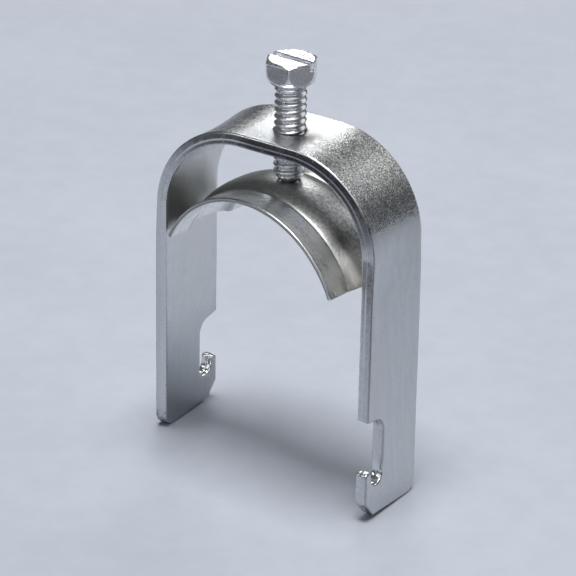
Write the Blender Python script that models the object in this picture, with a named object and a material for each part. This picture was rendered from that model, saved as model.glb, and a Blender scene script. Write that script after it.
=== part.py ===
"""Strut pipe clamp: a hooked U-shaped strap, a hex screw in its crown and a ribbed saddle on the screw's tip.

The strap is drawn as the flat blank that a press would cut, then bent. The pipe runs along Y between the
legs, X goes from one leg to the other and the feet stand on Z = 0. The strap looks the same when it is turned
half a turn about the screw, so each leg has its hook on the opposite edge.
"""

import math

import bmesh
import bpy
import numpy as np

MM = 0.001

# The pipe that the clamp is made for, nominal one inch
PIPE_DIAMETER = 33.4 * MM

# Strap
STRAP_WIDTH = 13.5 * MM
STRAP_THICKNESS = 1.9 * MM
PIPE_SIDE_CLEARANCE = 0.3 * MM
LEG_HEIGHT = 39.8 * MM
BEND_RADIUS = 14.7 * MM
LEG_SPLAY = math.radians(3.5)
LEG_LEAN = math.radians(5.5)

# Hook at the end of each leg, heights above the foot
NOTCH_TOP = 15.5 * MM
NOTCH_DEPTH = 4.35 * MM
NOTCH_TOP_SLOPE = math.radians(10)
NOTCH_FILLET = 2.2 * MM
POCKET_WIDTH = 2.9 * MM
POCKET_BOTTOM = 5.1 * MM
HOOK_TIP_INSIDE = 7.7 * MM
HOOK_TIP_OUTSIDE = 7.5 * MM
HOOK_CHAMFER_ACROSS = 2.1 * MM
HOOK_CHAMFER_UP = 2.9 * MM
FOOT_CORNER_RADIUS = 2.0 * MM

# Screw, number 10 with 24 threads to the inch; the shank is drawn at the thread's pitch diameter
THREAD_DIAMETER = 4.83 * MM
SHANK_DIAMETER = 4.2 * MM
SHANK_LENGTH = 14.7 * MM
TIP_TAPER = 0.8 * MM
TIP_DIAMETER = 3.4 * MM
HEAD_ACROSS_FLATS = 7.0 * MM
HEAD_HEIGHT = 3.75 * MM
HEAD_CORNER_RADIUS = 0.5 * MM
HEAD_FACE_DIAMETER = 5.2 * MM
HEAD_BOWL_HEIGHT = 2.3 * MM
HEAD_TOP_CHAMFER = 0.35 * MM
SLOT_WIDTH = 1.2 * MM
SLOT_DEPTH = 1.1 * MM
HEAD_TURN = math.radians(-2.5)
HEAD_ABOVE_CROWN = 7.0 * MM

# Swivel pin below the tip, peened over inside the saddle's rib
PIN_DIAMETER = 2.4 * MM
PEEN_DIAMETER = 4.0 * MM
PEEN_THICKNESS = 0.6 * MM
SWIVEL_CLEARANCE = 0.3 * MM

# Saddle
SADDLE_WIDTH = 17.5 * MM
SADDLE_THICKNESS = 0.65 * MM
SADDLE_HALF_ANGLE = math.radians(64.5)
RIB_WIDTH = 9.2 * MM
RIB_HEIGHT = 1.1 * MM
RIB_FULLNESS = 2.8
SADDLE_TURN = math.radians(-7.7)

# Facets
BEND_STEPS = 24
FILLET_STEPS = 6
ROUND_STEPS = 64
SADDLE_STEPS = 44
RIB_STEPS = 16

# What follows from the sizes above
HALF_WIDTH = STRAP_WIDTH / 2
LEG_INSIDE = PIPE_DIAMETER / 2 + PIPE_SIDE_CLEARANCE
BEND_ANGLE = math.pi / 2 - LEG_SPLAY
LAND_HALF = LEG_INSIDE - (BEND_RADIUS - STRAP_THICKNESS) * math.sin(BEND_ANGLE)
BEND_LENGTH = BEND_RADIUS * BEND_ANGLE
LEG_START = LAND_HALF + BEND_LENGTH
BEND_CENTRE_HEIGHT = LEG_HEIGHT - BEND_RADIUS * math.cos(BEND_ANGLE)
CROWN_TOP = BEND_CENTRE_HEIGHT + BEND_RADIUS
HEAD_SEAT = CROWN_TOP + HEAD_ABOVE_CROWN
TIP_SHOULDER = HEAD_SEAT - SHANK_LENGTH
RIB_TOP = TIP_SHOULDER - SWIVEL_CLEARANCE
SADDLE_OUTSIDE_RADIUS = PIPE_DIAMETER / 2 + SADDLE_THICKNESS
SADDLE_CENTRE = RIB_TOP - RIB_HEIGHT - SADDLE_OUTSIDE_RADIUS
PEEN_TOP = RIB_TOP - SADDLE_THICKNESS - SWIVEL_CLEARANCE


def clear_scene():
    for thing in list(bpy.data.objects):
        bpy.data.objects.remove(thing, do_unlink=True)


def plated_steel(name, colour, roughness):
    """A zinc-plated steel, as bright or as dull as the piece is in use."""
    material = bpy.data.materials.new(name)
    material.use_nodes = True
    shader = material.node_tree.nodes["Principled BSDF"]
    shader.inputs["Base Color"].default_value = (*colour, 1.0)
    shader.inputs["Metallic"].default_value = 1.0
    shader.inputs["Roughness"].default_value = roughness
    return material


def finish_mesh(name, shape, material=None):
    """Turns a bmesh into an object, with its faces outwards and its round faces smooth."""
    bmesh.ops.recalc_face_normals(shape, faces=shape.faces)
    mesh = bpy.data.meshes.new(name)
    shape.to_mesh(mesh)
    shape.free()
    mesh.shade_smooth()
    mesh.set_sharp_from_angle(angle=math.radians(30))
    thing = bpy.data.objects.new(name, mesh)
    bpy.context.scene.collection.objects.link(thing)
    if material:
        mesh.materials.append(material)
    return thing


def skin(rings):
    """A closed solid through rings of points: walls between neighbouring rings and a flat cap on each end."""
    shape = bmesh.new()
    loops = [[shape.verts.new(point) for point in ring] for ring in rings]
    for near, far in zip(loops, loops[1:]):
        for i in range(len(near)):
            j = (i + 1) % len(near)
            shape.faces.new((near[i], near[j], far[j], far[i]))
    shape.faces.new(loops[0])
    shape.faces.new(loops[-1])
    return shape


def turned(profile):
    """A solid of revolution about Z from (radius, height) points, with flat ends."""
    turns = np.linspace(0, 2 * math.pi, ROUND_STEPS, endpoint=False)
    rings = [[(r * math.cos(a), r * math.sin(a), z) for a in turns] for r, z in profile]
    return skin(rings)


def prism(outline, low, high):
    """A straight solid that stands on an outline of (x, y) points."""
    return skin([[(x, y, z) for x, y in outline] for z in (low, high)])


def arc(centre, radius, start, end, steps=FILLET_STEPS):
    """Points on a circle, both ends included, with angles in radians."""
    angles = np.linspace(start, end, steps + 1)
    return [(centre[0] + radius * math.cos(a), centre[1] + radius * math.sin(a)) for a in angles]


def combine(target, tool, operation):
    """Applies a Boolean with a hidden tool object, which stays in the file as a construction shape."""
    tool.hide_render = True
    tool.display_type = "WIRE"
    modifier = target.modifiers.new(tool.name, "BOOLEAN")
    modifier.operation = operation
    modifier.solver = "EXACT"
    modifier.object = tool


def leg_outline():
    """Half of the blank's edge as (height, across) points, from the plain edge round the hook to its edge.

    Across is positive towards the hook.
    """
    wall = HALF_WIDTH - NOTCH_DEPTH
    hook_inside = wall + POCKET_WIDTH
    pocket_radius = POCKET_WIDTH / 2
    corner = arc(
        (FOOT_CORNER_RADIUS, FOOT_CORNER_RADIUS - HALF_WIDTH),
        FOOT_CORNER_RADIUS,
        -math.pi / 2,
        -math.pi,
    )
    hook = [
        (0, HALF_WIDTH - HOOK_CHAMFER_ACROSS),
        (HOOK_CHAMFER_UP, HALF_WIDTH),
        (HOOK_TIP_OUTSIDE, HALF_WIDTH),
        (HOOK_TIP_INSIDE, hook_inside),
    ]
    pocket = arc(
        (POCKET_BOTTOM + pocket_radius, wall + pocket_radius),
        pocket_radius,
        math.pi / 2,
        3 * math.pi / 2,
    )
    # The fillet touches the wall and the sloped top, so its centre lies one radius from each
    rise = math.tan(NOTCH_TOP_SLOPE)
    fillet_across = wall + NOTCH_FILLET
    top_there = NOTCH_TOP - rise * (HALF_WIDTH - fillet_across)
    fillet_height = top_there - NOTCH_FILLET / math.cos(NOTCH_TOP_SLOPE)
    fillet = arc((fillet_height, fillet_across), NOTCH_FILLET, -math.pi / 2, -NOTCH_TOP_SLOPE)
    return corner + hook + pocket + fillet + [(NOTCH_TOP, HALF_WIDTH)]


def blank_outline():
    """The whole blank as (station, across) points, where station runs along the strip from its middle."""
    foot_station = LEG_START + LEG_HEIGHT
    half = [(foot_station - height, -across) for height, across in leg_outline()]
    return half + [(-station, -across) for station, across in half]


def bend(station, across, depth):
    """Takes a point of the flat blank to its place on the strap.

    Depth goes inwards from the outer face. The middle is a flat land, then comes a round bend, then a leg.
    A leg splays outwards and leans towards its hook, and it ends level so that both feet stand flat.
    """
    side = math.copysign(1, station)
    along = abs(station)
    radius = BEND_RADIUS - depth
    angle = min(max((along - LAND_HALF) / BEND_RADIUS, 0), BEND_ANGLE)
    x = min(along, LAND_HALF) + radius * math.sin(angle)
    z = BEND_CENTRE_HEIGHT + radius * math.cos(angle)
    drop = max(along - LEG_START, 0)
    fall = z * drop / LEG_HEIGHT
    x += fall * math.tan(LEG_SPLAY)
    return side * x, across - side * drop * math.tan(LEG_LEAN), z - fall


def make_strap(material):
    """Cuts the blank, scores it where it bends, gives it its thickness and bends it, then bores the crown."""
    shape = bmesh.new()
    shape.faces.new([shape.verts.new((s, a, 0)) for s, a in blank_outline()])
    for side in (-1, 1):
        for step in range(BEND_STEPS + 1):
            score = side * (LAND_HALF + BEND_LENGTH * step / BEND_STEPS)
            everything = [*shape.verts, *shape.edges, *shape.faces]
            bmesh.ops.bisect_plane(shape, geom=everything, plane_co=(score, 0, 0), plane_no=(1, 0, 0))
    made = bmesh.ops.extrude_face_region(shape, geom=list(shape.faces))
    for item in made["geom"]:
        if isinstance(item, bmesh.types.BMVert):
            item.co.z = STRAP_THICKNESS
    for vertex in shape.verts:
        vertex.co = bend(*vertex.co)
    strap = finish_mesh("strap", shape, material)
    through = 2 * STRAP_THICKNESS
    bore = turned([
        (THREAD_DIAMETER / 2, CROWN_TOP + through),
        (THREAD_DIAMETER / 2, CROWN_TOP - through),
    ])
    combine(strap, finish_mesh("crown_bore", bore), "DIFFERENCE")
    return strap


def rib_rise(across):
    """How far the saddle stands above its flanges: a bead with a full top that meets them in a crease."""
    reach = np.clip(np.abs(across) / (RIB_WIDTH / 2), 0, 1)
    return RIB_HEIGHT * (1 - reach**RIB_FULLNESS)


def saddle_section():
    """The pressed section as a closed line of (across, radius) points: the outer face, then the inner one."""
    edge = SADDLE_WIDTH / 2
    across = np.concatenate([[-edge], np.linspace(-RIB_WIDTH / 2, RIB_WIDTH / 2, RIB_STEPS + 1), [edge]])
    outside = SADDLE_OUTSIDE_RADIUS + rib_rise(across)
    slope = np.gradient(outside, across)
    slope[[0, -1]] = 0
    tilt = np.arctan(slope)
    inner_across = across + SADDLE_THICKNESS * np.sin(tilt)
    inner_radius = outside - SADDLE_THICKNESS * np.cos(tilt)
    outer = list(zip(across, outside))
    inner = list(zip(inner_across, inner_radius))
    return outer + inner[::-1]


def make_saddle(material):
    """Sweeps the pressed section round the pipe's axis and pierces the rib for the swivel pin."""
    angles = np.linspace(-SADDLE_HALF_ANGLE, SADDLE_HALF_ANGLE, SADDLE_STEPS + 1)
    below = SADDLE_CENTRE - RIB_TOP
    rings = [
        [(radius * math.sin(a), across, below + radius * math.cos(a)) for across, radius in saddle_section()]
        for a in angles
    ]
    saddle = finish_mesh("saddle", skin(rings), material)
    saddle.location = (0, 0, RIB_TOP)
    saddle.rotation_euler = (0, 0, SADDLE_TURN)
    hole_radius = PIN_DIAMETER / 2 + SWIVEL_CLEARANCE
    hole = turned([(hole_radius, SADDLE_THICKNESS), (hole_radius, -2 * SADDLE_THICKNESS)])
    cutter = finish_mesh("pin_hole", hole)
    cutter.location = saddle.location
    combine(saddle, cutter, "DIFFERENCE")
    return saddle


def head_blank():
    """The turned head before its flats are pressed: bowl-shaped below, with a small chamfer on top."""
    corner_radius = HEAD_ACROSS_FLATS / 2 / math.cos(math.pi / 6)
    face_radius = HEAD_FACE_DIAMETER / 2
    sweep = np.linspace(0, math.pi / 2, 2 * FILLET_STEPS + 1)
    bowl = [
        (face_radius + (corner_radius - face_radius) * math.sin(a), HEAD_BOWL_HEIGHT * (1 - math.cos(a)))
        for a in sweep
    ]
    top = [
        (corner_radius, HEAD_HEIGHT - HEAD_TOP_CHAMFER),
        (corner_radius - 2 * HEAD_TOP_CHAMFER, HEAD_HEIGHT),
    ]
    return turned(bowl + top)


def hexagon(across_flats, corner_radius):
    """A hexagon with rounded corners, one of them on the X axis."""
    reach = (across_flats / 2 - corner_radius) / math.cos(math.pi / 6)
    points = []
    for corner in range(6):
        middle = corner * math.pi / 3
        centre = (reach * math.cos(middle), reach * math.sin(middle))
        points += arc(centre, corner_radius, middle - math.pi / 6, middle + math.pi / 6, 4)
    return points


def make_screw(material):
    """A hex head with a slot, its shank with a tapered tip, and the peened pin that carries the saddle."""
    screw = finish_mesh("screw", head_blank(), material)
    flats = prism(hexagon(HEAD_ACROSS_FLATS, HEAD_CORNER_RADIUS), -HEAD_HEIGHT, 2 * HEAD_HEIGHT)
    combine(screw, finish_mesh("head_flats", flats), "INTERSECT")
    half_length = HEAD_ACROSS_FLATS
    half_slot = SLOT_WIDTH / 2
    corners = [
        (-half_length, -half_slot),
        (half_length, -half_slot),
        (half_length, half_slot),
        (-half_length, half_slot),
    ]
    slot = prism(corners, HEAD_HEIGHT - SLOT_DEPTH, 2 * HEAD_HEIGHT)
    combine(screw, finish_mesh("head_slot", slot), "DIFFERENCE")
    shank_radius = SHANK_DIAMETER / 2
    pin_radius = PIN_DIAMETER / 2
    peen_radius = PEEN_DIAMETER / 2
    tip = TIP_SHOULDER - HEAD_SEAT
    peen_top = PEEN_TOP - HEAD_SEAT
    peen_edge = peen_top - PEEN_THICKNESS / 2
    shank = turned([
        (shank_radius, (HEAD_HEIGHT - SLOT_DEPTH) / 2),
        (shank_radius, tip + TIP_TAPER),
        (TIP_DIAMETER / 2, tip),
        (pin_radius, tip),
        (pin_radius, peen_top),
        (peen_radius, peen_top),
        (peen_radius, peen_edge),
        (pin_radius, peen_top - PEEN_THICKNESS),
    ])
    combine(screw, finish_mesh("shank_and_pin", shank), "UNION")
    screw.location = (0, 0, HEAD_SEAT)
    screw.rotation_euler = (0, 0, HEAD_TURN)
    for tool in screw.modifiers:
        tool.object.location = screw.location
        tool.object.rotation_euler = screw.rotation_euler
    return screw


def main():
    clear_scene()
    make_strap(plated_steel("strap_zinc", (0.58, 0.60, 0.62), 0.34))
    make_saddle(plated_steel("saddle_zinc", (0.55, 0.55, 0.53), 0.26))
    make_screw(plated_steel("screw_zinc", (0.62, 0.63, 0.65), 0.28))


main()
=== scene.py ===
import math

import bpy
import numpy as np
from mathutils import Matrix
from mathutils.geometry import delaunay_2d_cdt


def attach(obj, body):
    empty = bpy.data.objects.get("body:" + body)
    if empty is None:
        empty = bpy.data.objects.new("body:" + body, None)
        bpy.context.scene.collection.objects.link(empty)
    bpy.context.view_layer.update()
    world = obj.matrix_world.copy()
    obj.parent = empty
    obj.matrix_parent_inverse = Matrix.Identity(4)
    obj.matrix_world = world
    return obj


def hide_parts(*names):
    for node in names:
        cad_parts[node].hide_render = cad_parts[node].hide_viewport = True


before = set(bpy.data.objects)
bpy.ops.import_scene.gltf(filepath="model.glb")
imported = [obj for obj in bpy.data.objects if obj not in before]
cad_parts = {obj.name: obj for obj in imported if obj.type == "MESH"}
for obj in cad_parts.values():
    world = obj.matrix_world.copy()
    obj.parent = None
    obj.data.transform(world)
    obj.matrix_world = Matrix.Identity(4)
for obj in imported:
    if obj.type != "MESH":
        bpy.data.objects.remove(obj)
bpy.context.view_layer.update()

MM = 0.001

# All sizes are in millimetres. They are the CAD part's, apart from those that a comment names and those of
# edges, thread and trough, which the CAD leaves plain.

# The strap
STRAP_WIDTH = 13.5
STRAP_THICKNESS = 1.9
BEND_RADIUS = 14.7
LAND_HALF = 4.224
BEND_ANGLE = math.radians(86.5)
BEND_CENTRE_HEIGHT = 38.903
LEG_HEIGHT = 39.8
LEG_SPLAY = math.radians(3.5)
LEG_LEAN = math.radians(5.5)
LEG_START = LAND_HALF + BEND_RADIUS * BEND_ANGLE
FOOT_STATION = LEG_START + LEG_HEIGHT
HALF_WIDTH = STRAP_WIDTH / 2

# The foot's notch and hook. The CAD's foot is level, and here its edge rises a little towards its hook.
NOTCH_TOP = 15.5
NOTCH_DEPTH = 4.35
NOTCH_TOP_SLOPE = math.radians(10)
NOTCH_FILLET = 2.2
POCKET_WIDTH = 2.9
POCKET_BOTTOM = 5.1
HOOK_TIP_INSIDE = 7.7
HOOK_TIP_OUTSIDE = 7.5
HOOK_CHAMFER_ACROSS = 2.1
HOOK_CHAMFER_UP = 2.9
FOOT_CORNER_RADIUS = 2.0
FOOT_LIFT = 0.55
FOOT_SINK = 0.10
CORNER_RADIUS = 0.42

# The bend pulls the outer face into a shallow trough across the strip, and tips its cut edges outwards
TROUGH_DEPTH = 0.28
EDGE_TIP = 0.055

# The bend's open grain ends this far from the screw's axis, along the strip
GRAIN_END = 22.4

# The screw. Its thread is drawn a little thinner and shallower than the standard one, as its outline in the
# photo is, and its head sits a hair below the CAD's so that it stays inside the CAD's box.
PITCH = 25.4 / 24
THREAD_DIAMETER = 4.72
ROOT_DIAMETER = 3.80
BORE_CLEARANCE = 0.04
SHANK_DIAMETER = 4.2
SHANK_LENGTH = 14.7
TIP_TAPER = 0.8
TIP_DIAMETER = 3.4
HEAD_ACROSS_FLATS = 7.0
HEAD_HEIGHT = 3.75
HEAD_CORNER_RADIUS = 0.5
HEAD_FACE_DIAMETER = 5.2
HEAD_BOWL_HEIGHT = 2.3
HEAD_TOP_CHAMFER = 0.35
HEAD_TURN = math.radians(-2.5)
HEAD_SEAT = 60.600
SLOT_WIDTH = 1.2
SLOT_DEPTH = 1.1
PIN_DIAMETER = 2.4
PEEN_DIAMETER = 4.0
PEEN_THICKNESS = 0.6
PEEN_TOP = 44.653

# The saddle, which reaches 1.3 degrees further round the pipe than the CAD's
SADDLE_WIDTH = 17.5
SADDLE_THICKNESS = 0.65
SADDLE_HALF_ANGLE = math.radians(65.8)
SADDLE_OUTSIDE_RADIUS = 17.35
SADDLE_CENTRE = 27.153
SADDLE_TURN = math.radians(-7.7)
RIB_WIDTH = 9.2
RIB_HEIGHT = 1.1
RIB_FULLNESS = 2.8
SADDLE_HOLE_RADIUS = 1.5

# What the camera sees behind the part, and how far the lights stand from it in metres
BACKDROP = (0.53, 0.57, 0.65, 1.0)
LIGHT_DISTANCE = 0.60


# Outlines in the flat

def arc(centre, radius, start, end, steps):
    """Points on a circle from one angle to another, both ends included."""
    angles = np.linspace(start, end, steps + 1)
    return np.column_stack([centre[0] + radius * np.cos(angles), centre[1] + radius * np.sin(angles)])


def rounded(points, radii, spacing):
    """A closed polygon with each corner replaced by a tangent arc of its radius, then split evenly.

    The arc's centre lies on the corner's bisector, radius / sin(half the angle) away from the corner.
    """
    points = np.asarray(points, float)
    path = []
    for i, (corner, radius) in enumerate(zip(points, radii)):
        back = points[i - 1] - corner
        ahead = points[(i + 1) % len(points)] - corner
        back /= np.linalg.norm(back)
        ahead /= np.linalg.norm(ahead)
        if radius == 0:
            path.append(corner)
            continue
        half = math.acos(float(np.clip(back @ ahead, -1, 1))) / 2
        bisector = (back + ahead) / np.linalg.norm(back + ahead)
        centre = corner + bisector * radius / math.sin(half)
        leave = corner + back * radius / math.tan(half) - centre
        arrive = corner + ahead * radius / math.tan(half) - centre
        start = math.atan2(leave[1], leave[0])
        turn = (math.atan2(arrive[1], arrive[0]) - start + math.pi) % (2 * math.pi) - math.pi
        steps = max(5, round(abs(turn) * radius / spacing * 1.5))
        path.extend(arc(centre, radius, start, start + turn, steps))
    return split_evenly(np.array(path), spacing)


def split_evenly(path, spacing):
    """Puts extra points on the long edges of a closed path."""
    result = []
    for here, there in zip(path, np.roll(path, -1, axis=0)):
        length = np.linalg.norm(there - here)
        if length < 1e-6:
            continue
        steps = max(1, math.ceil(length / spacing))
        shares = np.arange(steps)[:, None] / steps
        result.append(here + shares * (there - here))
    return np.concatenate(result)


def leg_corners():
    """The foot's corners as (height, across, radius), from the plain edge round to the hook's edge."""
    wall = HALF_WIDTH - NOTCH_DEPTH
    hook_inside = wall + POCKET_WIDTH
    wall_top = NOTCH_TOP - NOTCH_DEPTH * math.tan(NOTCH_TOP_SLOPE)
    pocket = POCKET_WIDTH / 2 - 0.01
    return [
        (-FOOT_SINK, -HALF_WIDTH, FOOT_CORNER_RADIUS),
        (FOOT_LIFT, HALF_WIDTH - HOOK_CHAMFER_ACROSS, CORNER_RADIUS),
        (HOOK_CHAMFER_UP, HALF_WIDTH, CORNER_RADIUS),
        (HOOK_TIP_OUTSIDE, HALF_WIDTH, CORNER_RADIUS),
        (HOOK_TIP_INSIDE, hook_inside, CORNER_RADIUS),
        (POCKET_BOTTOM, hook_inside, pocket),
        (POCKET_BOTTOM, wall, pocket),
        (wall_top, wall, NOTCH_FILLET),
        (NOTCH_TOP, HALF_WIDTH, CORNER_RADIUS),
    ]


def strap_outline(spacing):
    """The blank's edge as (station, across), counter-clockwise: one foot, then the same turned round."""
    half = [(FOOT_STATION - height, -across, radius) for height, across, radius in leg_corners()]
    whole = half + [(-station, -across, radius) for station, across, radius in half]
    path = rounded([p[:2] for p in whole], [p[2] for p in whole], spacing)
    return path if signed_area(path) > 0 else path[::-1]


def signed_area(path):
    """The area inside a closed path, which is positive when it runs counter-clockwise."""
    ahead = np.roll(path, -1, axis=0)
    return float(np.sum(path[:, 0] * ahead[:, 1] - path[:, 1] * ahead[:, 0])) / 2


def inset(path, distance):
    """Moves a counter-clockwise path inwards, each point along the bisector of its two edges."""
    ahead = np.roll(path, -1, axis=0) - path
    ahead /= np.linalg.norm(ahead, axis=1)[:, None]
    behind = np.roll(ahead, 1, axis=0)
    normal = np.column_stack([-(ahead[:, 1] + behind[:, 1]), ahead[:, 0] + behind[:, 0]])
    normal /= np.linalg.norm(normal, axis=1)[:, None]
    along = np.clip(np.sum(normal * np.column_stack([-ahead[:, 1], ahead[:, 0]]), axis=1), 0.5, 1)
    return path + normal * (distance / along)[:, None]


def distance_to_path(points, path):
    """The distance from each point to the nearest edge of a closed path."""
    starts = path
    runs = np.roll(path, -1, axis=0) - path
    squares = np.sum(runs**2, axis=1)
    nearest = np.full(len(points), 1e9)
    for chunk in np.array_split(np.arange(len(points)), max(1, len(points) // 2000)):
        offset = points[chunk, None] - starts
        share = np.clip(np.sum(offset * runs, axis=2) / squares, 0, 1)
        gap = np.linalg.norm(offset - share[:, :, None] * runs, axis=2)
        nearest[chunk] = gap.min(axis=1)
    return nearest


# Sheet pieces: an outline and round holes in the flat, an edge profile, and a function that shapes the flat

def fill_flat(outline, holes, spacing):
    """Points and triangles that fill an outline round its holes, with a grid of points inside.

    Slivers between points on a straight edge lie outside it, and are dropped by their size.
    """
    loops = [outline, *holes]
    low, high = outline.min(axis=0), outline.max(axis=0)
    counts = np.ceil((high - low) / spacing).astype(int)
    grid = np.meshgrid(*[np.linspace(a, b, n + 1) for a, b, n in zip(low, high, counts)], indexing="ij")
    inner = np.column_stack([g.ravel() for g in grid])
    clear = np.all([distance_to_path(inner, loop) > 0.55 * spacing for loop in loops], axis=0)
    inner = inner[clear & inside(inner, outline) & ~np.any([inside(inner, h) for h in holes], axis=0)]
    points = np.concatenate([*loops, inner])
    edges = []
    start = 0
    for loop in loops:
        count = len(loop)
        edges += [(start + i, start + (i + 1) % count) for i in range(count)]
        start += count
    _, _, faces, origin, _, _ = delaunay_2d_cdt(points.tolist(), edges, [], 0, 1e-6, True)
    names = [o[0] for o in origin]
    triangles = np.array([[names[i] for i in face] for face in faces])
    a, b, c = (points[triangles[:, k]] for k in range(3))
    area = (b - a)[:, 0] * (c - a)[:, 1] - (b - a)[:, 1] * (c - a)[:, 0]
    middle = (a + b + c) / 3
    kept = (np.abs(area) > 1e-5) & inside(middle, outline)
    kept &= ~np.any([inside(middle, hole) for hole in holes], axis=0)
    triangles, area = triangles[kept], area[kept]
    triangles[area < 0] = triangles[area < 0][:, ::-1]
    return points, triangles


def inside(points, path):
    """Which points a closed path encloses, by counting its crossings to the right of each."""
    ahead = np.roll(path, -1, axis=0)
    odd = np.zeros(len(points), bool)
    for (x0, y0), (x1, y1) in zip(path, ahead):
        if y0 == y1:
            continue
        spans = (points[:, 1] < y0) != (points[:, 1] < y1)
        cross = x0 + (points[:, 1] - y0) * (x1 - x0) / (y1 - y0)
        odd ^= spans & (points[:, 0] < cross)
    return odd


def sheet(outline, holes, edge_profile, hole_profile, spacing):
    """A closed plate in the flat: points as (station, across, depth, distance from the edge) and its faces.

    Each profile lists (depth, inset). Its first point starts the outer face and its last the inner face.
    """
    loops = [outline, *holes]
    profiles = [edge_profile] + [hole_profile] * len(holes)
    signs = [1] + [-1] * len(holes)
    points, faces = [], []
    count = 0
    caps = {}
    for end in (0, -1):
        rims = [inset(loop, sign * profile[end][1]) for loop, profile, sign in zip(loops, profiles, signs)]
        flat, triangles = fill_flat(rims[0], rims[1:], spacing)
        depth = edge_profile[end][0]
        gap = distance_to_path(flat, rims[0]) + edge_profile[end][1]
        points.append(np.column_stack([flat, np.full(len(flat), depth), gap]))
        faces.append((triangles if end == 0 else triangles[:, ::-1]) + count)
        starts = np.cumsum([0] + [len(loop) for loop in loops])[:-1] + count
        caps[end] = starts
        count += len(flat)
    for k, (loop, profile, sign) in enumerate(zip(loops, profiles, signs)):
        size = len(loop)
        rows = [caps[0][k]]
        for depth, step in profile[1:-1]:
            ring = inset(loop, sign * step)
            points.append(np.column_stack([ring, np.full(size, depth), np.full(size, step)]))
            rows.append(count)
            count += size
        rows.append(caps[-1][k])
        near = np.arange(size)
        far = (near + 1) % size
        for upper, lower in zip(rows, rows[1:]):
            quads = np.column_stack([upper + near, lower + near, lower + far, upper + far])
            faces.append(quads if sign == 1 else quads[:, ::-1])
    return np.concatenate(points), faces


def bend(station, across, depth):
    """The strap's shape: a flat land, a round bend, then a leg that splays outwards and leans to its hook.

    The trough is deepest mid-strip, as 1 - (share of the half width)**2, and dies away down the leg and
    towards the inner face.
    """
    side = np.where(station < 0, -1.0, 1.0)
    along = np.abs(station)
    angle = np.clip((along - LAND_HALF) / BEND_RADIUS, 0, BEND_ANGLE)
    drop = np.maximum(along - LEG_START, 0)
    trough = TROUGH_DEPTH * (1 - (across / HALF_WIDTH) ** 2) * (1 - depth / STRAP_THICKNESS)
    trough = trough * np.exp(-((drop / 9) ** 2))
    across = across * (1 + EDGE_TIP * (depth / STRAP_THICKNESS - 0.8) * np.exp(-((drop / 4) ** 2)))
    radius = BEND_RADIUS - depth - trough
    x = np.minimum(along, LAND_HALF) + radius * np.sin(angle)
    z = BEND_CENTRE_HEIGHT + radius * np.cos(angle)
    fall = z * drop / LEG_HEIGHT
    x = x + fall * math.tan(LEG_SPLAY)
    return np.column_stack([side * x, across - side * drop * math.tan(LEG_LEAN), z - fall])


def rib_rise(across):
    """How far the saddle's bead stands above its flanges: height * (1 - reach ** fullness)."""
    reach = np.clip(np.abs(across) / (RIB_WIDTH / 2), 0, 1)
    return RIB_HEIGHT * (1 - reach**RIB_FULLNESS)


def press(station, across, depth):
    """The saddle's shape: the bead's section swept round the pipe's axis, then turned about the screw."""
    step = 0.02
    slope = (rib_rise(across + step) - rib_rise(across - step)) / (2 * step)
    tilt = np.arctan(slope)
    radius = SADDLE_OUTSIDE_RADIUS + rib_rise(across) - depth * np.cos(tilt)
    y = across + depth * np.sin(tilt)
    angle = station / SADDLE_OUTSIDE_RADIUS
    x = radius * np.sin(angle)
    c, s = math.cos(SADDLE_TURN), math.sin(SADDLE_TURN)
    return np.column_stack([c * x - s * y, s * x + c * y, SADDLE_CENTRE + radius * np.cos(angle)])


# Turning grids into objects

def make_object(name, points, faces, material, layers=None, flat_map=None):
    """An object from points in millimetres. Layers are numbers for each point that its material reads."""
    mesh = bpy.data.meshes.new(name)
    corners = np.concatenate([f.ravel() for f in faces])
    sizes = np.concatenate([np.full(len(f), f.shape[1]) for f in faces])
    mesh.vertices.add(len(points))
    mesh.vertices.foreach_set("co", (points * MM).astype(np.float32).ravel())
    mesh.loops.add(len(corners))
    mesh.loops.foreach_set("vertex_index", corners.astype(np.int32))
    mesh.polygons.add(len(sizes))
    mesh.polygons.foreach_set("loop_start", (np.cumsum(sizes) - sizes).astype(np.int32))
    mesh.update(calc_edges=True)
    mesh.validate()
    mesh.shade_smooth()
    for title, values in (layers or {}).items():
        layer = mesh.attributes.new(title, "FLOAT", "POINT")
        layer.data.foreach_set("value", values.astype(np.float32))
    if flat_map is not None:
        uv = mesh.uv_layers.new(name="UVMap")
        uv.data.foreach_set("uv", (flat_map[corners] * MM).astype(np.float32).ravel())
    mesh.materials.append(material)
    thing = bpy.data.objects.new(name, mesh)
    bpy.context.scene.collection.objects.link(thing)
    return thing


# Layers: a number for each point, from 0 to 1, that a material reads

def mask(condition):
    """1 where a condition holds and 0 elsewhere."""
    return np.where(condition, 1.0, 0.0)


def spot(station, across, centre, size, power=2):
    """A soft spot: the exponential of minus (reach along the strip)**power, minus (reach across it)**2."""
    along = (station - centre[0]) / size[0]
    return np.exp(-(along**power) - ((across - centre[1]) / size[1]) ** 2)


# Materials

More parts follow.
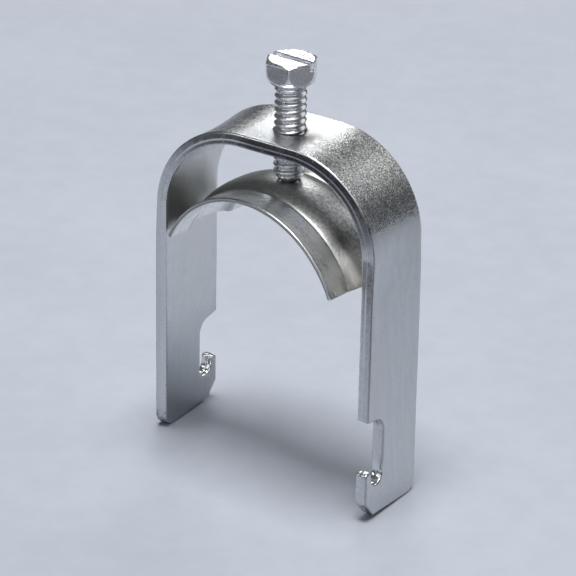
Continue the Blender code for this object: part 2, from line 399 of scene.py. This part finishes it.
class Nodes:
    """Adds nodes to a material and links them, so that a material reads as a list of steps."""

    def __init__(self, name):
        self.material = bpy.data.materials.new(name)
        self.material.use_nodes = True
        self.tree = self.material.node_tree
        self.shader = self.tree.nodes["Principled BSDF"]
        self.place = self.add("ShaderNodeTexCoord").outputs["Object"]

    def add(self, kind, **settings):
        node = self.tree.nodes.new(kind)
        for key, value in settings.items():
            setattr(node, key, value)
        return node

    def put(self, socket, value):
        if isinstance(value, bpy.types.NodeSocket):
            self.tree.links.new(value, socket)
        else:
            socket.default_value = value

    def noise(self, size_mm, detail=2.0, rough=0.5, stretch=None):
        """Noise whose features are about that many millimetres across."""
        where = self.place
        if stretch is not None:
            mapping = self.add("ShaderNodeMapping")
            self.put(mapping.inputs["Vector"], where)
            mapping.inputs["Scale"].default_value = stretch
            where = mapping.outputs["Vector"]
        node = self.add("ShaderNodeTexNoise")
        self.put(node.inputs["Vector"], where)
        node.inputs["Scale"].default_value = 1 / (size_mm * MM)
        node.inputs["Detail"].default_value = detail
        node.inputs["Roughness"].default_value = rough
        return node.outputs["Fac"]

    def layer(self, title):
        return self.add("ShaderNodeAttribute", attribute_name=title).outputs["Fac"]

    def math(self, operation, a, b=0.0, c=0.0, clamp=False):
        node = self.add("ShaderNodeMath", operation=operation, use_clamp=clamp)
        for socket, value in zip(node.inputs, (a, b, c)):
            self.put(socket, value)
        return node.outputs[0]

    def ramp(self, value, low, high, out_low=0.0, out_high=1.0):
        """Smooth step from one value to another."""
        node = self.add("ShaderNodeMapRange", interpolation_type="SMOOTHSTEP")
        for socket, number in zip(node.inputs, (value, low, high, out_low, out_high)):
            self.put(socket, number)
        return node.outputs["Result"]

    def stain_and_painted_light(self, share, strength, below, colour):
        """Covers the colour below with another one, as strongly as a layer's share times a strength. It
        lays stains and also painted light and shade.
        """
        return self.mix(self.math("MULTIPLY", share, strength), below, colour)

    def mix(self, share, a, b):
        """Colour a where share is 0, and colour b where it is 1."""
        node = self.add("ShaderNodeMix", data_type="RGBA")
        self.put(node.inputs["Factor"], share)
        for socket, value in ((node.inputs[6], a), (node.inputs[7], b)):
            self.put(socket, value if isinstance(value, bpy.types.NodeSocket) else (*value, 1.0))
        return node.outputs[2]

    def bump(self, height, distance_mm, strength=1.0, below=None):
        node = self.add("ShaderNodeBump")
        node.inputs["Strength"].default_value = strength
        node.inputs["Distance"].default_value = distance_mm * MM
        self.put(node.inputs["Height"], height)
        if below is not None:
            self.put(node.inputs["Normal"], below)
        return node.outputs["Normal"]


def strap_material():
    """Zinc plating: a grain that the bend has opened up, faint streaks on the legs and banded cut edges."""
    n = Nodes("strap_zinc_look")
    fine = n.noise(0.20, detail=2, rough=0.6)
    medium = n.noise(1.1, detail=3)
    broad = n.noise(6.0, detail=2)
    streak = n.noise(0.9, detail=3, rough=0.6, stretch=(1, 1, 0.08))
    cut = n.layer("cut")
    pocket = n.layer("pocket")
    calm = n.math("ADD", n.math("MULTIPLY", n.layer("inside"), 0.85), n.math("MULTIPLY", cut, 0.85))
    bent = n.math("MULTIPLY", n.layer("bent"), n.math("SUBTRACT", 1.0, calm, clamp=True))
    worn = n.math("ADD", n.math("MULTIPLY", fine, 0.75), n.math("MULTIPLY", medium, 0.25))
    specks = n.math("MULTIPLY", n.ramp(worn, 0.40, 0.60, 1.0, 0.0), bent)
    flecks = n.math("MULTIPLY", n.ramp(fine, 0.53, 0.61), bent)
    patchy = n.ramp(n.noise(1.6, detail=4, rough=0.65), 0.25, 0.55)
    # Painted dark reflection: a patchy dark smudge on the crown's outer face beside the screw
    painted_dark_reflection = n.math("MULTIPLY", patchy, n.layer("painted_dark_reflection"))
    scuffs = n.math("MULTIPLY", n.ramp(n.noise(0.6, detail=2), 0.4, 0.6), n.layer("scuffed"))
    colour = n.mix(n.ramp(fine, 0.3, 0.7), (0.54, 0.56, 0.58), (0.64, 0.66, 0.68))
    colour = n.mix(n.ramp(streak, 0.35, 0.7, 0.0, 0.35), colour, (0.70, 0.72, 0.74))
    colour = n.mix(n.ramp(broad, 0.35, 0.7, 0.0, 0.3), colour, (0.60, 0.60, 0.57))
    for share, strength, cover in (
        (specks, 0.78, (0.13, 0.125, 0.115)),
        (flecks, 1.0, (0.88, 0.87, 0.85)),
        # Painted dark reflection beside the screw
        (painted_dark_reflection, 0.95, (0.12, 0.115, 0.11)),
        # Painted light and shade on the inner face: lighter near the top, darker near the feet
        (n.layer("lit"), 0.5, (0.84, 0.82, 0.78)),
        (n.layer("shaded"), 0.5, (0.22, 0.24, 0.26)),
        (scuffs, 0.7, (0.16, 0.17, 0.18)),
        (cut, 0.18, (0.38, 0.38, 0.42)),
        (n.layer("torn"), 0.2, (0.70, 0.73, 0.75)),
        # Painted dark reflection on the cut edges from just left of the screw to the end of the right bend
        (n.layer("painted_dark_edge"), 0.65, (0.13, 0.13, 0.15)),
        (n.layer("rolled"), 0.55, (0.26, 0.26, 0.30)),
        (pocket, 0.6, (0.82, 0.83, 0.84)),
    ):
        colour = n.stain_and_painted_light(share, strength, colour, cover)
    rough = n.ramp(medium, 0.3, 0.7, 0.30, 0.40)
    for share, strength in ((bent, 0.12), (cut, 0.10), (pocket, 0.15)):
        rough = n.math("SUBTRACT", rough, n.math("MULTIPLY", share, strength))
    n.put(n.shader.inputs["Base Color"], colour)
    n.put(n.shader.inputs["Roughness"], rough)
    n.shader.inputs["Metallic"].default_value = 1.0
    grain = n.math("ADD", n.math("MULTIPLY", bent, 1.1), 0.12)
    normal = n.bump(n.math("MULTIPLY", fine, grain), 0.05, 0.9)
    normal = n.bump(medium, 0.06, 0.3, normal)
    lumps = n.math("MULTIPLY", n.noise(0.8, detail=1), pocket)
    normal = n.bump(lumps, 0.16, 1.0, normal)
    n.put(n.shader.inputs["Normal"], normal)
    return n.material


def saddle_material():
    """A duller zinc with faint warm patches and a grainy bead, painted shade on the bead's slopes, its
    crease, one spot and the left end, a painted dark reflection on the cut edges and a painted highlight
    near the right end.
    """
    n = Nodes("saddle_zinc_look")
    fine = n.noise(0.4, detail=3, rough=0.6)
    broad = n.noise(4.0, detail=2)
    lines = n.noise(0.8, detail=3, rough=0.6, stretch=(0.12, 1, 0.12))
    grain = n.noise(0.45, detail=3, rough=0.7)
    bead = n.layer("bead")
    slopes = n.layer("slopes")
    worn = n.math("MULTIPLY", n.ramp(grain, 0.38, 0.60, 1.0, 0.0), bead)
    colour = n.mix(n.ramp(fine, 0.35, 0.65), (0.74, 0.75, 0.76), (0.86, 0.87, 0.87))
    colour = n.mix(n.ramp(broad, 0.4, 0.65, 0.0, 0.5), colour, (0.70, 0.68, 0.62))
    colour = n.mix(n.ramp(lines, 0.45, 0.7, 0.0, 0.35), colour, (0.86, 0.86, 0.84))
    for share, strength, cover in (
        # Painted shade on the bead's slopes, which dims their highlight
        (slopes, 0.8, (0.28, 0.28, 0.27)),
        (worn, 0.5, (0.12, 0.12, 0.12)),
        # Painted shade, darker towards the left end
        (n.layer("painted_left_shade"), 0.75, (0.26, 0.27, 0.25)),
        # Painted shade: a dark spot on the bead's front slope
        (n.layer("dim"), 0.7, (0.10, 0.10, 0.10)),
        # A painted highlight on the bead's front slope near the right end
        (n.layer("painted_highlight"), 1.0, (0.99, 0.97, 0.93)),
        # Painted shade along the bead's crease
        (n.layer("crease"), 0.6, (0.16, 0.16, 0.16)),
        # Painted dark reflection on the cut edges
        (n.layer("cut"), 0.8, (0.08, 0.08, 0.09)),
    ):
        colour = n.stain_and_painted_light(share, strength, colour, cover)
    n.put(n.shader.inputs["Base Color"], colour)
    rough = n.math("MULTIPLY_ADD", slopes, 0.20, n.ramp(lines, 0.3, 0.7, 0.22, 0.34))
    n.put(n.shader.inputs["Roughness"], rough)
    n.shader.inputs["Metallic"].default_value = 1.0
    normal = n.bump(fine, 0.04, 0.3)
    normal = n.bump(n.noise(5.0, detail=1), 0.5, 0.5, normal)
    normal = n.bump(n.math("MULTIPLY", grain, bead), 0.10, 0.6, normal)
    n.put(n.shader.inputs["Normal"], normal)
    return n.material


def screw_material():
    """Bright zinc over a forged and rolled surface."""
    n = Nodes("screw_zinc_look")
    fine = n.noise(0.3, detail=3, rough=0.6)
    broad = n.noise(2.0, detail=2)
    colour = n.mix(n.ramp(fine, 0.35, 0.65), (0.64, 0.65, 0.68), (0.80, 0.81, 0.83))
    n.put(n.shader.inputs["Base Color"], colour)
    n.put(n.shader.inputs["Roughness"], n.ramp(broad, 0.3, 0.7, 0.2, 0.3))
    n.shader.inputs["Metallic"].default_value = 1.0
    split = n.add("ShaderNodeSeparateXYZ")
    n.put(split.inputs[0], n.place)
    top = (HEAD_SEAT + HEAD_HEIGHT) * MM
    on_top = n.ramp(split.outputs["Z"], top - 0.5 * MM, top - 0.1 * MM)
    normal = n.bump(fine, 0.03, 0.3)
    lumps = n.math("MULTIPLY", n.noise(0.8, detail=2), on_top)
    n.put(n.shader.inputs["Normal"], n.bump(lumps, 0.10, 0.7, normal))
    return n.material


# The strap

def make_strap():
    """The strap, sheared on its upper half and torn on its lower half at every cut edge.

    Its layers say where the surface's look changes. Bent, inside, cut, torn and pocket follow the form, and
    scuffed marks worn places by the feet. Rolled darkens the outer rim, more so down the legs. The others
    are painted light and shade: a painted dark reflection beside the screw and on the crown's cut edges,
    and the inner face painted lighter near the top and darker near the feet.
    """
    edge_profile = [
        (0.0, 0.30),
        (0.02, 0.18),
        (0.08, 0.08),
        (0.17, 0.02),
        (0.30, 0.0),
        (0.62, 0.0),
        (0.95, 0.0),
        (1.02, 0.015),
        (1.08, 0.06),
        (1.35, 0.07),
        (1.62, 0.085),
        (1.80, 0.11),
        (1.87, 0.15),
        (STRAP_THICKNESS, 0.21),
    ]
    hole_profile = [
        (0.0, 0.14),
        (0.03, 0.07),
        (0.09, 0.02),
        (0.18, 0.0),
        (1.60, 0.0),
        (1.78, 0.05),
        (STRAP_THICKNESS, 0.14),
    ]
    outline = strap_outline(0.34)
    bore = arc((0, 0), THREAD_DIAMETER / 2 + BORE_CLEARANCE, 0, 2 * math.pi, 96)[:-1]
    flat, faces = sheet(outline, [bore], edge_profile, hole_profile, 0.5)
    station, across, depth, gap = flat.T
    shaped = bend(station, across, depth)
    near_edge = gap < 0.2
    on_edge = near_edge & (depth > 0.05) & (depth < 1.88)
    outer = mask(depth < 0.3)
    inner = mask(depth > 1.88)
    side = np.where(station < 0, -1, 1)
    along = np.abs(station)
    drop = np.maximum(along - LEG_START, 0)
    started = np.clip((along - 3.0) / 6.0, 0, 1)
    past = np.clip((along - GRAIN_END - 0.06 * across * side) / 1.4, 0, 1)
    pocket_station = FOOT_STATION - POCKET_BOTTOM - POCKET_WIDTH / 2
    pocket_across = -side * (HALF_WIDTH - NOTCH_DEPTH + POCKET_WIDTH / 2)
    from_pocket = np.hypot(along - pocket_station, across - pocket_across)
    front = np.clip((station + 5) / 2.5, 0, 1) * np.clip((26 - station) / 3, 0, 1)
    layers = {
        "bent": (0.25 + 0.75 * started) * (1 - past * past * (3 - 2 * past)),
        "inside": np.clip((depth - 1.86) / 0.04, 0, 1),
        "pocket": np.clip(2.1 - from_pocket, 0, 1) * mask(near_edge & (depth > 0.01) & (depth < 1.89)),
        "cut": mask(on_edge),
        "torn": mask(on_edge & (depth > 1.0)),
        # Painted dark reflection on the cut edges from just left of the screw to the end of the right bend
        "painted_dark_edge": mask(on_edge & (depth > 0.2)) * front,
        "rolled": mask((gap < 0.19) & (depth < 0.25)) * (0.15 + 0.85 * np.clip(drop / 4, 0, 1)),
        # Painted dark reflection on the crown's outer face beside the screw
        "painted_dark_reflection": spot(station, across, (3.9, -1.4), (3.2, 2.3)) * outer,
        # Painted light and shade on the inner face: lighter near the top, darker near the feet
        "lit": inner * np.clip(1 - drop / 25, 0, 1),
        "shaded": inner * np.clip((drop - 20) / 16, 0, 1),
        "scuffed": mask(on_edge & (FOOT_STATION - along < 2.9)),
    }
    return make_object("strap_look", shaped, faces, strap_material(), layers, flat[:, :2])


# The saddle

def make_saddle():
    """The saddle. Its layers say where the colour changes: the bead's grain, and painted light and shade on
    its slopes, its crease, its cut edges, its left end and two spots.
    """
    edge_profile = [
        (0.0, 0.13),
        (0.02, 0.06),
        (0.07, 0.02),
        (0.14, 0.0),
        (0.42, 0.0),
        (0.54, 0.02),
        (0.62, 0.05),
        (SADDLE_THICKNESS, 0.11),
    ]
    hole_profile = [
        (0.0, 0.12),
        (0.06, 0.03),
        (0.14, 0.0),
        (0.52, 0.0),
        (SADDLE_THICKNESS, 0.08),
    ]
    reach = SADDLE_HALF_ANGLE * SADDLE_OUTSIDE_RADIUS
    half = SADDLE_WIDTH / 2
    corners = [(-reach, -half), (reach, -half), (reach, half), (-reach, half)]
    outline = rounded(corners, [0.3] * 4, 0.25)
    hole = arc((0, 0), SADDLE_HOLE_RADIUS, 0, 2 * math.pi, 64)[:-1]
    flat, faces = sheet(outline, [hole], edge_profile, hole_profile, 0.25)
    station, across, depth, gap = flat.T
    shaped = press(station, across, depth)
    outer = mask(depth < 0.3)
    from_middle = np.abs(across)
    bead = outer * np.clip((RIB_WIDTH / 2 - from_middle) / 0.4, 0, 1)
    layers = {
        "bead": bead,
        # Painted shade on the bead's slopes
        "slopes": bead * (0.15 + 0.85 * np.clip((from_middle - 1.4) / 1.6, 0, 1)),
        # Painted shade towards the left end
        "painted_left_shade": outer * np.clip((7 - station) / 12, 0, 1),
        # Painted shade: a dark spot on the bead's front slope
        "dim": spot(station, across, (12.6, -2.6), (1.5, 1.6)),
        # A painted highlight on the bead's front slope near the right end
        "painted_highlight": spot(station, across, (17.2, -3.0), (2.6, 1.1), power=4),
        # Painted shade along the bead's crease
        "crease": np.exp(-(((from_middle - RIB_WIDTH / 2) / 0.22) ** 2)),
        # Painted dark reflection on the cut edges
        "cut": mask((gap < 0.06) & (depth > 0.2) & (depth < 0.6)),
    }
    return make_object("saddle_look", shaped, faces, saddle_material(), layers, flat[:, :2])


# The screw

def hexagon_radius(angle):
    """Radius of the rounded hexagon, with a corner at angle 0.

    Flats lie at half the width / cos(angle from the flat's middle). Near a corner it follows the arc.
    """
    from_flat = np.mod(angle, math.pi / 3) - math.pi / 6
    flat = HEAD_ACROSS_FLATS / 2 / np.cos(from_flat)
    from_corner = math.pi / 6 - np.abs(from_flat)
    reach = (HEAD_ACROSS_FLATS / 2 - HEAD_CORNER_RADIUS) / math.cos(math.pi / 6)
    across = reach * np.sin(from_corner)
    corner = reach * np.cos(from_corner) + np.sqrt(np.maximum(HEAD_CORNER_RADIUS**2 - across**2, 0))
    return np.where(across < HEAD_CORNER_RADIUS * math.sin(math.pi / 6), corner, flat)


def head_rows(angle):
    """The head from its top to its bearing face, as rows of (radius, height) for each angle.

    A turned blank with a bowl below and a chamfer on top is cut by the hexagon. A row follows each crease.
    """
    sharp = HEAD_ACROSS_FLATS / 2 / math.cos(math.pi / 6)
    face = HEAD_FACE_DIAMETER / 2
    side = hexagon_radius(angle)
    corner = float(side.max())
    rim = sharp - 2 * HEAD_TOP_CHAMFER
    chamfer_low = HEAD_HEIGHT - HEAD_TOP_CHAMFER * (side - rim) / (sharp - rim)
    share = np.clip((side - face) / (corner - face), 0, 1)
    bowl_high = HEAD_BOWL_HEIGHT * (1 - np.sqrt(1 - share**2))
    rows = []
    whole = np.ones_like(angle)
    for part in (0.0, 0.25, 0.5, 0.72, 0.86, 0.95):
        rows.append((rim * part * whole, HEAD_HEIGHT * whole))
    rows.append((rim * 0.985 * whole, (HEAD_HEIGHT - 0.005) * whole))
    for t in (0.05, 0.35, 0.65, 0.9):
        rows.append((rim + t * (side - rim), HEAD_HEIGHT + t * (chamfer_low - HEAD_HEIGHT) - 0.012 * whole))
    for t in (0.02, 0.08, 0.2, 0.4, 0.6, 0.8, 0.92, 0.98):
        rows.append((side, chamfer_low + t * (bowl_high - chamfer_low) - 0.012 * (1 - t)))
    for t in (0.96, 0.88, 0.76, 0.62, 0.46, 0.3, 0.15, 0.04):
        part = share * t
        radius = face + (corner - face) * part
        rows.append((radius, HEAD_BOWL_HEIGHT * (1 - np.sqrt(1 - part**2))))
    for part in (0.985, 0.93, 0.88):
        rows.append((face * part * whole, 0 * whole))
    return rows


def thread_radius(angle, height, top):
    """A rolled right-hand thread: the crest rises by one pitch a turn.

    From crest to root the depth is the mean of a straight flank and half a cosine.
    """
    phase = np.mod((height - top) / PITCH - angle / (2 * math.pi), 1.0)
    from_crest = np.abs(phase - 0.5) * 2
    fall = np.clip((from_crest - 0.07) / 0.83, 0, 1)
    flank = 0.5 * fall + 0.25 - 0.25 * np.cos(math.pi * fall)
    cut = THREAD_DIAMETER / 2 - (THREAD_DIAMETER - ROOT_DIAMETER) / 2 * flank
    run_out = np.clip((top - height) / 0.8, 0, 1)
    run_out = run_out * run_out * (3 - 2 * run_out)
    return SHANK_DIAMETER / 2 + run_out * (cut - SHANK_DIAMETER / 2)


def make_screw():
    """The head, the threaded shank, the pin and its peen as one grid of rows of points round the axis."""
    columns = 192
    even = np.linspace(0, 2 * math.pi, columns, endpoint=False)
    angle = even - 0.5 * np.sin(6 * even) / 6
    whole = np.ones_like(angle)
    rows = [(radius, HEAD_SEAT + height) for radius, height in head_rows(angle)]
    tip = HEAD_SEAT - SHANK_LENGTH
    steps = 22
    heights = np.arange(HEAD_SEAT - 0.02, tip + 0.001, -PITCH / steps)
    for height in heights:
        taper = TIP_DIAMETER / 2 + (THREAD_DIAMETER - TIP_DIAMETER) / 2 * min((height - tip) / TIP_TAPER, 1)
        rows.append((np.minimum(thread_radius(angle, height, HEAD_SEAT), taper), height * whole))
    peen_low = PEEN_TOP - PEEN_THICKNESS
    pin = PIN_DIAMETER / 2
    peen = PEEN_DIAMETER / 2
    for radius, height in (
        (TIP_DIAMETER / 2 - 0.06, tip),
        (pin + 0.05, tip),
        (pin, tip - 0.05),
        (pin, PEEN_TOP + 0.02),
        (pin + 0.02, PEEN_TOP),
        (peen - 0.06, PEEN_TOP),
        (peen, PEEN_TOP - 0.08),
        (peen - 0.04, PEEN_TOP - 0.30),
        (peen * 0.8, peen_low + 0.08),
        (peen * 0.45, peen_low),
        (0.0, peen_low),
    ):
        rows.append((radius * whole, height * whole))
    radius = np.array([r for r, _ in rows])
    height = np.array([h for _, h in rows])
    turned = angle + HEAD_TURN
    points = np.stack([radius * np.cos(turned), radius * np.sin(turned), height], axis=2)
    body = points[1:-1].reshape(-1, 3)
    count = len(rows) - 2
    top_pole = np.array([[0, 0, height[0, 0]]])
    low_pole = np.array([[0, 0, height[-1, 0]]])
    near = np.arange(columns)
    far = (near + 1) % columns
    row = (np.arange(count - 1) * columns)[:, None]
    quads = np.stack([row + near, row + columns + near, row + columns + far, row + far], axis=2)
    quads = quads.reshape(-1, 4)
    base = len(body)
    top_fan = np.column_stack([np.full(columns, base), near, far])
    last = (count - 1) * columns
    low_fan = np.column_stack([np.full(columns, base + 1), last + far, last + near])
    everything = np.concatenate([body, top_pole, low_pole])
    screw = make_object("screw_look", everything, [quads, top_fan, low_fan], screw_material())
    cut_slot(screw)
    return screw


def cut_slot(screw):
    """Cuts the driver slot, which flares a little at its mouth, and applies the cut."""
    top = HEAD_SEAT + HEAD_HEIGHT
    half = SLOT_WIDTH / 2
    section = [
        (-half, top - SLOT_DEPTH),
        (half, top - SLOT_DEPTH),
        (half, top - 0.10),
        (half + 0.10, top),
        (half + 0.9, top + 0.8),
        (-half - 0.9, top + 0.8),
        (-half - 0.10, top),
        (-half, top - 0.10),
    ]
    c, s = math.cos(HEAD_TURN), math.sin(HEAD_TURN)
    ends = []
    for x in (-HEAD_ACROSS_FLATS, HEAD_ACROSS_FLATS):
        ends += [(c * x - s * y, s * x + c * y, z) for y, z in section]
    size = len(section)
    sides = [(i, (i + 1) % size, size + (i + 1) % size, size + i) for i in range(size)]
    mesh = bpy.data.meshes.new("slot_cutter")
    caps = [tuple(range(size))[::-1], tuple(range(size, 2 * size))]
    mesh.from_pydata((np.array(ends) * MM).tolist(), [], sides + caps)
    cutter = bpy.data.objects.new("slot_cutter", mesh)
    bpy.context.scene.collection.objects.link(cutter)
    modifier = screw.modifiers.new("slot", "BOOLEAN")
    modifier.operation = "DIFFERENCE"
    modifier.solver = "EXACT"
    modifier.object = cutter
    bpy.context.view_layer.update()
    done = bpy.data.meshes.new_from_object(screw.evaluated_get(bpy.context.evaluated_depsgraph_get()))
    screw.modifiers.clear()
    screw.data = done
    bpy.data.objects.remove(cutter, do_unlink=True)
    done.set_sharp_from_angle(angle=math.radians(38))


# Floor, light and camera

def make_floor():
    """A sheet of pale paper, faintly mottled, that blends into the backdrop's colour far from the part."""
    mesh = bpy.data.meshes.new("floor")
    half = 1.5
    corners = [(-half, -half, 0), (half, -half, 0), (half, half, 0), (-half, half, 0)]
    mesh.from_pydata(corners, [], [(0, 1, 2, 3)])
    floor = bpy.data.objects.new("floor", mesh)
    bpy.context.scene.collection.objects.link(floor)
    n = Nodes("floor_paper")
    broad = n.math("MULTIPLY", n.noise(30.0), 0.5)
    mottle = n.math("MULTIPLY_ADD", n.noise(5.0, detail=4, rough=0.6), 0.5, broad)
    paper = n.mix(n.ramp(mottle, 0.3, 0.7), (0.60, 0.64, 0.72), (0.65, 0.69, 0.775))
    n.put(n.shader.inputs["Base Color"], paper)
    n.shader.inputs["Roughness"].default_value = 0.9
    n.shader.inputs["Specular IOR Level"].default_value = 0.1
    away = n.add("ShaderNodeVectorMath", operation="LENGTH")
    n.put(away.inputs[0], n.place)
    seen = n.add("ShaderNodeLightPath").outputs["Is Camera Ray"]
    far = n.math("MULTIPLY", n.ramp(away.outputs["Value"], 0.12, 0.45), seen)
    glow = n.add("ShaderNodeEmission")
    glow.inputs["Color"].default_value = BACKDROP
    blend = n.add("ShaderNodeMixShader")
    n.put(blend.inputs[0], far)
    n.put(blend.inputs[1], n.shader.outputs[0])
    n.put(blend.inputs[2], glow.outputs[0])
    n.put(n.tree.nodes["Material Output"].inputs["Surface"], blend.outputs[0])
    mesh.materials.append(n.material)
    return floor


def softbox(name, azimuth, elevation, width, height, brightness, lights_floor):
    """A soft box that faces the part, with its place in degrees and its size in metres.

    Its brightness is how bright its face looks. One that doesn't light the floor only shows in reflections.
    """
    data = bpy.data.lights.new(name, "AREA")
    data.shape = "RECTANGLE"
    data.size = width
    data.size_y = height
    data.energy = brightness * math.pi * width * height
    lamp = bpy.data.objects.new(name, data)
    a, e = math.radians(azimuth), math.radians(elevation)
    away = np.array([math.cos(e) * math.cos(a), math.cos(e) * math.sin(a), math.sin(e)])
    side = np.array([-math.sin(a), math.cos(a), 0.0])
    matrix = Matrix.Identity(4)
    for i, axis in enumerate((side, np.cross(away, side), away)):
        matrix[0][i], matrix[1][i], matrix[2][i] = axis
    matrix.translation = away * LIGHT_DISTANCE + np.array([0, 0, 0.04])
    lamp.matrix_world = matrix
    lamp.visible_camera = False
    lamp.visible_diffuse = lights_floor
    bpy.context.scene.collection.objects.link(lamp)


def make_card(name, azimuth, start, low, high, grey):
    """A dark card on the floor that only shows as a reflection.

    It starts at a distance in metres from the part, in an azimuth's direction, and reaches from low to high
    across that.
    """
    turn = math.radians(azimuth)
    away = np.array([math.cos(turn), math.sin(turn)])
    side = np.array([-math.sin(turn), math.cos(turn)])
    corners = []
    for distance, across in ((start, low), (1.2, low), (1.2, high), (start, high)):
        corners.append((*(distance * away + across * side), 0.0005))
    mesh = bpy.data.meshes.new(name)
    mesh.from_pydata(corners, [], [(0, 1, 2, 3)])
    card = bpy.data.objects.new(name, mesh)
    bpy.context.scene.collection.objects.link(card)
    n = Nodes(name)
    n.shader.inputs["Base Color"].default_value = (grey, grey, 1.1 * grey, 1.0)
    n.shader.inputs["Roughness"].default_value = 0.9
    mesh.materials.append(n.material)
    card.visible_camera = False
    card.visible_diffuse = False
    card.visible_shadow = False
    return card


def make_camera():
    """The photo's camera: its axes and place were fitted to the part's edges in the photo."""
    data = bpy.data.cameras.new("camera")
    data.sensor_width = 36
    data.lens = 221.029
    data.clip_start = 0.01
    camera = bpy.data.objects.new("camera", data)
    right = (0.83376, 0.55174, 0.0206)
    up = (-0.25454, 0.35102, 0.90111)
    back = (0.48994, -0.75655, 0.43311)
    matrix = Matrix.Identity(4)
    for i, axis in enumerate((right, up, back)):
        matrix[0][i], matrix[1][i], matrix[2][i] = axis
    matrix.translation = (0.25449, -0.392565, 0.252788)
    camera.matrix_world = matrix
    bpy.context.scene.collection.objects.link(camera)
    bpy.context.scene.camera = camera


def make_world():
    """A dim room for light and reflections, and a plain pale backdrop for the camera."""
    world = bpy.data.worlds.new("room")
    bpy.context.scene.world = world
    world.use_nodes = True
    tree = world.node_tree
    dim = tree.nodes["Background"]
    dim.inputs["Color"].default_value = (0.9, 0.95, 1.0, 1.0)
    dim.inputs["Strength"].default_value = 0.13
    pale = tree.nodes.new("ShaderNodeBackground")
    pale.inputs["Color"].default_value = BACKDROP
    path = tree.nodes.new("ShaderNodeLightPath")
    mix = tree.nodes.new("ShaderNodeMixShader")
    tree.links.new(path.outputs["Is Camera Ray"], mix.inputs[0])
    tree.links.new(dim.outputs[0], mix.inputs[1])
    tree.links.new(pale.outputs[0], mix.inputs[2])
    tree.links.new(mix.outputs[0], tree.nodes["World Output"].inputs["Surface"])


strap = make_strap()
saddle = make_saddle()
screw = make_screw()

for piece, node, slot in (
    (strap, "strap", "strap_zinc"),
    (saddle, "saddle", "saddle_zinc"),
    (screw, "screw", "screw_zinc"),
):
    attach(piece, node)
    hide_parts(node)

make_floor()
for light in (
    ("overhead", -90, 87, 0.28, 0.28, 11.3, True),
    ("back", 120, 33.7, 0.20, 0.20, 4.0, True),
    ("wall", 66, 36, 0.40, 0.28, 0.9, True),
    ("front", -57, 50, 0.90, 0.42, 1.2, False),
    ("left", -123, 30, 0.20, 0.20, 2.5, False),
    ("upper", -57, 68, 0.34, 0.15, 4.0, False),
):
    softbox(*light)
# One card darkens the head's left flat and the crown's front edge, the other the head's right flat
make_card("dark_card", -61.7, 0.0542, -0.80, -0.08, 0.05)
make_card("grey_card", -8, 0.085, -0.12, 0.12, 0.30)
make_camera()
make_world()
bpy.context.scene.view_settings.view_transform = "Standard"
